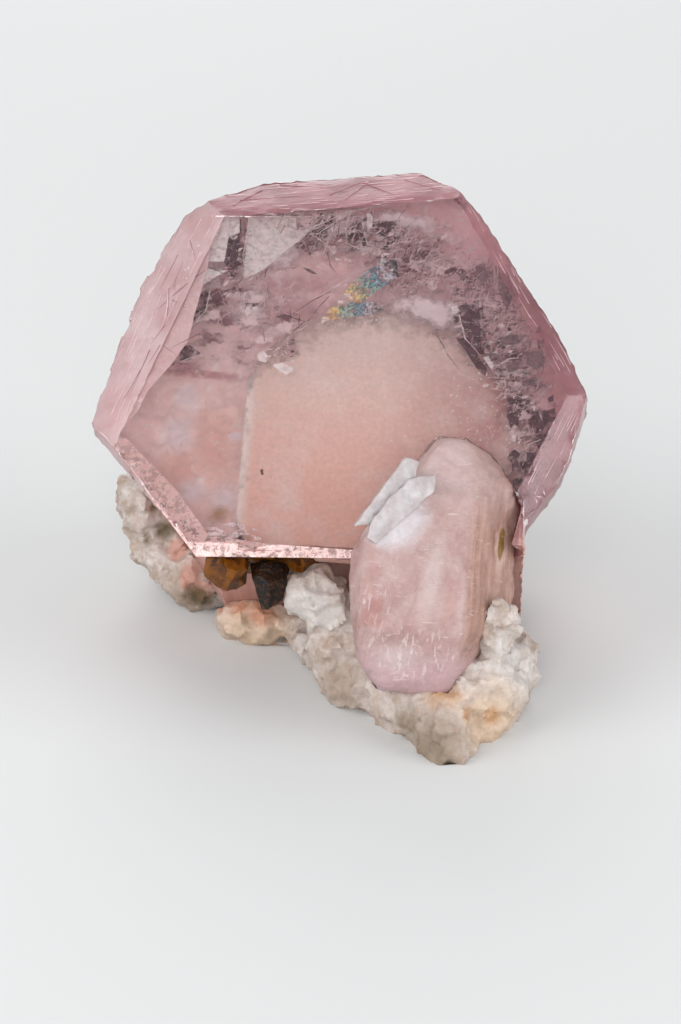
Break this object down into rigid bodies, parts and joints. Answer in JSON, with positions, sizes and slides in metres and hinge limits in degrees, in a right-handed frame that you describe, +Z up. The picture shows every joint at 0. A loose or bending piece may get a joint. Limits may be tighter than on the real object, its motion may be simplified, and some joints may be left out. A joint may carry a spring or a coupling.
{
  "type": "morganite crystal specimen",
  "caption": "Tabular pink beryl crystal on a stem, with a smaller beryl crystal and quartz, standing on a white albite matrix.",
  "frame": {"origin": "on the flat underside of the matrix, near the middle of the footprint", "axes": "+Z up, -Y to the front, where the main crystal's basal face looks; +X to the right"},
  "size_m": [0.0715, 0.0757, 0.0643],
  "materials": {
    "morganite": "clear pink beryl, glassy, veiled inside",
    "frosted_morganite": "translucent pale pink beryl, etched matt",
    "albite": "rough white feldspar with cream and brown stains",
    "albite_blade": "white pearly feldspar blades",
    "smoky_quartz": "dark brown, striated, glossy",
    "brown_quartz": "olive brown, translucent, glossy"
  },
  "bodies": {
    "root": {"main_crystal": "morganite", "side_crystal": "frosted_morganite", "albite_matrix": "albite", "albite_blades": "albite_blade", "smoky_quartz": "smoky_quartz", "brown_quartz": "brown_quartz"}
  },
  "joints": []
}
